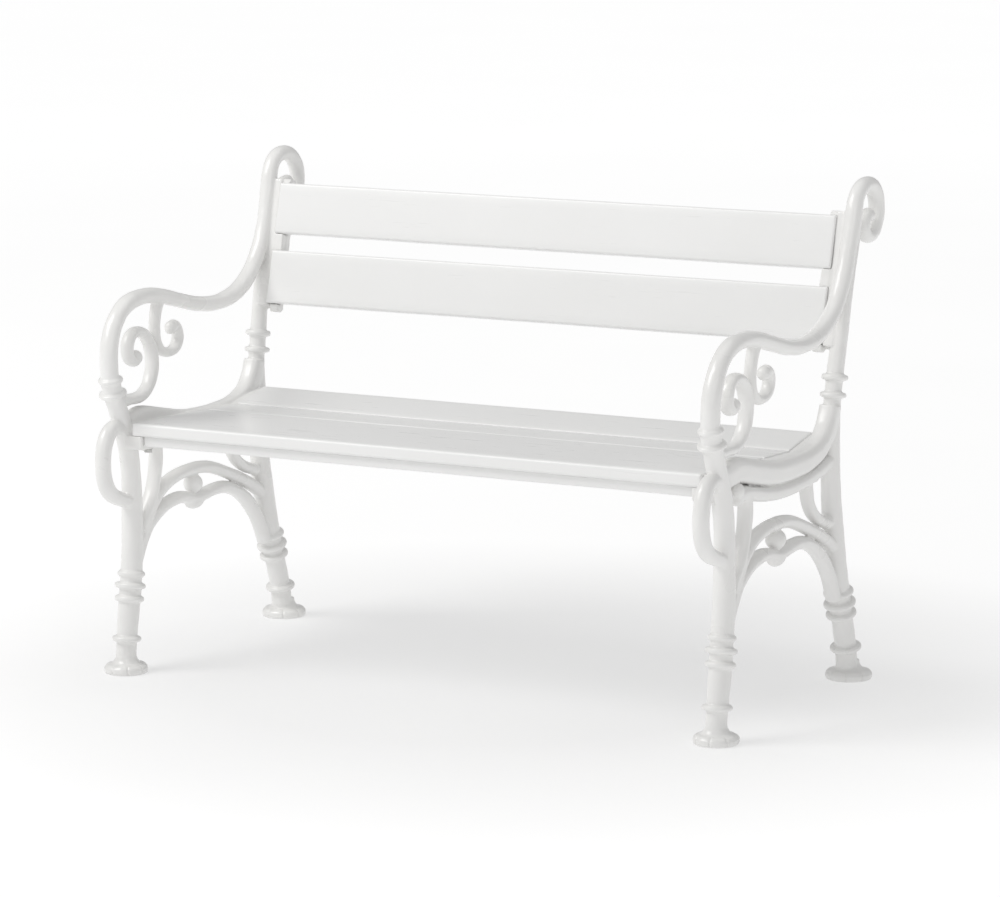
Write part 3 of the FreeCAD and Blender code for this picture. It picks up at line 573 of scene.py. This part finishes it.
bn = (math.cos(ang), -math.sin(ang))
bu = (math.sin(ang), math.cos(ang))
XS = (42.5 + 26.0) / 2.0
spots = []
for nm, b, fr in (("seat_board_front", ((-9.0, 436.5), (232.0, 426.0)), (0.16, 0.5, 0.84)),
                  ("seat_board_middle", ((236.0, 425.4), (329.5, 421.6)), (0.25, 0.75)),
                  ("seat_board_rear", ((333.0, 422.6), (425.0, 440.0)), (0.25, 0.72))):
    aa = bang(b)
    for f in fr:
        y = b[0][0] + (b[1][0] - b[0][0]) * f
        z = b[0][1] + (b[1][1] - b[0][1]) * f
        d = (0.0, -math.sin(aa), math.cos(aa))
        spots.append((nm, (y - d[1] * 22.0, z - d[2] * 22.0), d, 24.0))
for nm, z, w in (("back_slat_lower", 588.0, 95.0), ("back_slat_upper", 709.0, 91.0)):
    for f in (0.25, 0.75):
        y0 = 473.0 + BACK_SLOPE * (z - 700.0) + 22.0 * bn[0]
        z0 = z + 22.0 * bn[1]
        spots.append((nm, (y0 + bu[0] * w * f, z0 + bu[1] * w * f), (0.0, -bn[0], -bn[1]), 10.5))

heads, rings_ = {}, {}
for k, (nm, (y, z), d, t) in enumerate(spots):
    for sx in (1, -1):
        def at(dist):
            return (sx * (HALF - (28.0 if nm.startswith("back") else XS) / 1000.0), (y - d[1] * dist) / 1000.0 + CY, (z - d[2] * dist) / 1000.0)
        hv, hf = hex_head(0.013, 0.0055)
        th = math.radians(37 * k + (11 if sx > 0 else 0))
        hv = [(v[0] * math.cos(th) - v[1] * math.sin(th), v[0] * math.sin(th) + v[1] * math.cos(th), v[2]) for v in hv]
        sv, sf = lathe([(0.0012, (t + 1.6 + 15.0) / 1000 - 0.0002), (0.0036, (t + 1.6 + 13.0) / 1000), (0.0040, (t + 1.6 + 11.5) / 1000),
                        (0.0040, (t + 8.0) / 1000), (0.0040, 0.0004), (0.0044, 0.0)][::-1])
        heads.setdefault(nm, []).append((hv, hf, at(t + 1.6), d))
        heads[nm].append((sv, sf, at(t + 1.6), d))
        w = [(0.00425, 0.0), (0.0044, -0.00014), (0.0076, -0.00014), (0.0079, 0.0002), (0.0080, 0.0005),
             (0.0080, 0.0012), (0.0078, 0.0015), (0.0044, 0.0016), (0.00425, 0.0014), (0.00425, 0.0)]
        seg = 36
        V = []
        for r, h in w[:-1]:
            for i in range(seg):
                a_ = 2 * math.pi * i / seg
                V.append((r * math.cos(a_), r * math.sin(a_), h + 0.0))
        F = []
        kk = len(w) - 1
        for a_ in range(kk):
            b_ = (a_ + 1) % kk
            for i in range(seg):
                j = (i + 1) % seg
                F.append((a_ * seg + i, a_ * seg + j, b_ * seg + j, b_ * seg + i))
        rings_.setdefault(nm, []).append((V, F, at(t + 1.6), d))
for nm, parts in heads.items():
    place(parts, nm + "_hex_screws", nm + "_screws")
for nm, parts in rings_.items():
    place(parts, nm + "_plain_washers", nm + "_washers")

def wood_screw():
    """Countersunk slotted head, tapered point."""
    V, F = lathe([(0.0002, 0.0300), (0.0012, 0.0278), (0.0022, 0.0235), (0.0022, 0.0045), (0.0024, 0.0026), (0.0044, 0.0003), (0.0045, 0.0),
                  (0.0040, -0.0001), (0.0012, -0.0001)][::-1], 32)
    return V, F
parts = []
for x in (-0.400, -0.133, 0.133, 0.400):
    c = (x, (f0[0] + 11.0 * math.cos(a0)) / 1000.0 + CY, (f0[1] + 11.0 * math.sin(a0)) / 1000.0)
    d = (0.0, -math.sin(a0), math.cos(a0))
    base = (c[0], c[1] - d[1] * 0.017, c[2] - d[2] * 0.017)
    V, F = wood_screw()
    parts.append((V, F, base, d))
    # slot, as a raised pair of lips either side of a sunk bar
    for s in (1, -1):
        bx = [(-0.0036, s * 0.0004, -0.0001), (0.0036, s * 0.0004, -0.0001), (0.0034, s * 0.0022, -0.0001), (-0.0034, s * 0.0022, -0.0001),
              (-0.0036, s * 0.0005, -0.00035), (0.0036, s * 0.0005, -0.00035), (0.0033, s * 0.0020, -0.00028), (-0.0033, s * 0.0020, -0.00028)]
        fx = [(0, 1, 2, 3), (4, 7, 6, 5), (0, 4, 5, 1), (1, 5, 6, 2), (2, 6, 7, 3), (3, 7, 4, 0)]
        parts.append((bx, fx, base, d))
place(parts, "rail_countersunk_screws", "front_seat_rail_screws")

# ------------------------------------------------------- floor and light ----
def floor():
    # flat and wide, so that the bench shows from every side
    V, F = [], []
    pts = [(-40.0, 0.0), (40.0, 0.0)]
    for y, z in pts:
        V.append((-40.0, y, z - 0.0005))
        V.append((40.0, y, z - 0.0005))
    for i in range(len(pts) - 1):
        F.append((2 * i, 2 * i + 1, 2 * i + 3, 2 * i + 2))
    m, nt, p = start("studio_paper_glow")
    v = mapping(nt, (1.0, 1.0, 1.0))
    n1 = noise(nt, v, 1.3, 2.0, 0.5)
    t = ramp(nt, ((0.2, (0.45, 0.45, 0.45)), (0.8, (0.47, 0.47, 0.47))))
    nt.links.new(n1.outputs["Fac"], t.inputs["Fac"])
    nt.links.new(t.outputs["Color"], p.inputs["Base Color"])
    # painted light: the paper glows by emission, less next to the bench, where the dimmer glow deepens the shade under
    # the seat, and more further out, which brightens the backdrop
    ln = nt.nodes.new("ShaderNodeVectorMath")
    ln.operation = "LENGTH"
    nt.links.new(mapping(nt, (0.10, 0.10, 0.10)), ln.inputs[0])
    glow = ramp(nt, ((0.05, 0.47), (0.12, 0.64), (0.40, 0.72), (0.90, 0.79)))
    nt.links.new(ln.outputs["Value"], glow.inputs["Fac"])
    p.inputs["Emission Color"].default_value = (1.0, 1.0, 1.0, 1.0)
    nt.links.new(glow.outputs["Color"], p.inputs["Emission Strength"])
    p.inputs["Roughness"].default_value = 0.9
    p.inputs["Specular IOR Level"].default_value = 0.1
    o = mesh_object("studio_floor", V, F, m)
    return o
floor()

def area(name, loc, target, size, energy, color=(1, 1, 1), size_y=None):
    l = bpy.data.lights.new(name, "AREA")
    l.shape = "RECTANGLE"
    l.size = size
    l.size_y = size_y or size
    l.energy = energy
    l.color = color
    o = bpy.data.objects.new(name, l)
    COL.objects.link(o)
    o.location = loc
    o.rotation_euler = (Vector(target) - Vector(loc)).to_track_quat("-Z", "Y").to_euler()
    return o

area("key", (-2.6, -2.6, 4.2), (0, 0, 0.4), 2.6, 120.0, (1.0, 0.995, 0.985))
area("fill", (3.6, -4.6, 2.6), (0, 0, 0.4), 3.0, 24.0)
area("top", (0.3, 0.6, 4.6), (0, 0, 0.0), 3.4, 27.0)

world = bpy.data.worlds.new("studio")
bpy.context.scene.world = world
world.use_nodes = True
bg = world.node_tree.nodes["Background"]
bg.inputs["Color"].default_value = (1.0, 1.0, 1.0, 1.0)
bg.inputs["Strength"].default_value = 0.42
bpy.context.scene.view_settings.view_transform = "Standard"
bpy.context.scene.view_settings.look = "None"
bpy.context.scene.view_settings.exposure = 0.0

# ---------------------------------------------------------------- camera ----
az, el, roll = 0.4897816542591682, 0.17179344899174825, -0.0024648951689979466
back = Vector((math.sin(az) * math.cos(el), -math.cos(az) * math.cos(el), math.sin(el)))
right = Vector((math.cos(az), math.sin(az), 0.0))
up = back.cross(right)
r2 = right * math.cos(roll) + up * math.sin(roll)
u2 = -right * math.sin(roll) + up * math.cos(roll)
cam = bpy.data.cameras.new("camera")
cam.sensor_fit = "HORIZONTAL"
cam.sensor_width = 36.0
cam.lens = 4340.503681297377 / 1000.0 * 36.0
cam.clip_end = 100.0
cobj = bpy.data.objects.new("camera", cam)
COL.objects.link(cobj)
loc = Vector((3.0694173166356467, -5.474119485382133, 1.4759456098229737)) * 1.120
loc.y += CY
cobj.matrix_world = Matrix(((r2.x, u2.x, back.x, loc.x), (r2.y, u2.y, back.y, loc.y), (r2.z, u2.z, back.z, loc.z), (0, 0, 0, 1)))
bpy.context.scene.camera = cobj

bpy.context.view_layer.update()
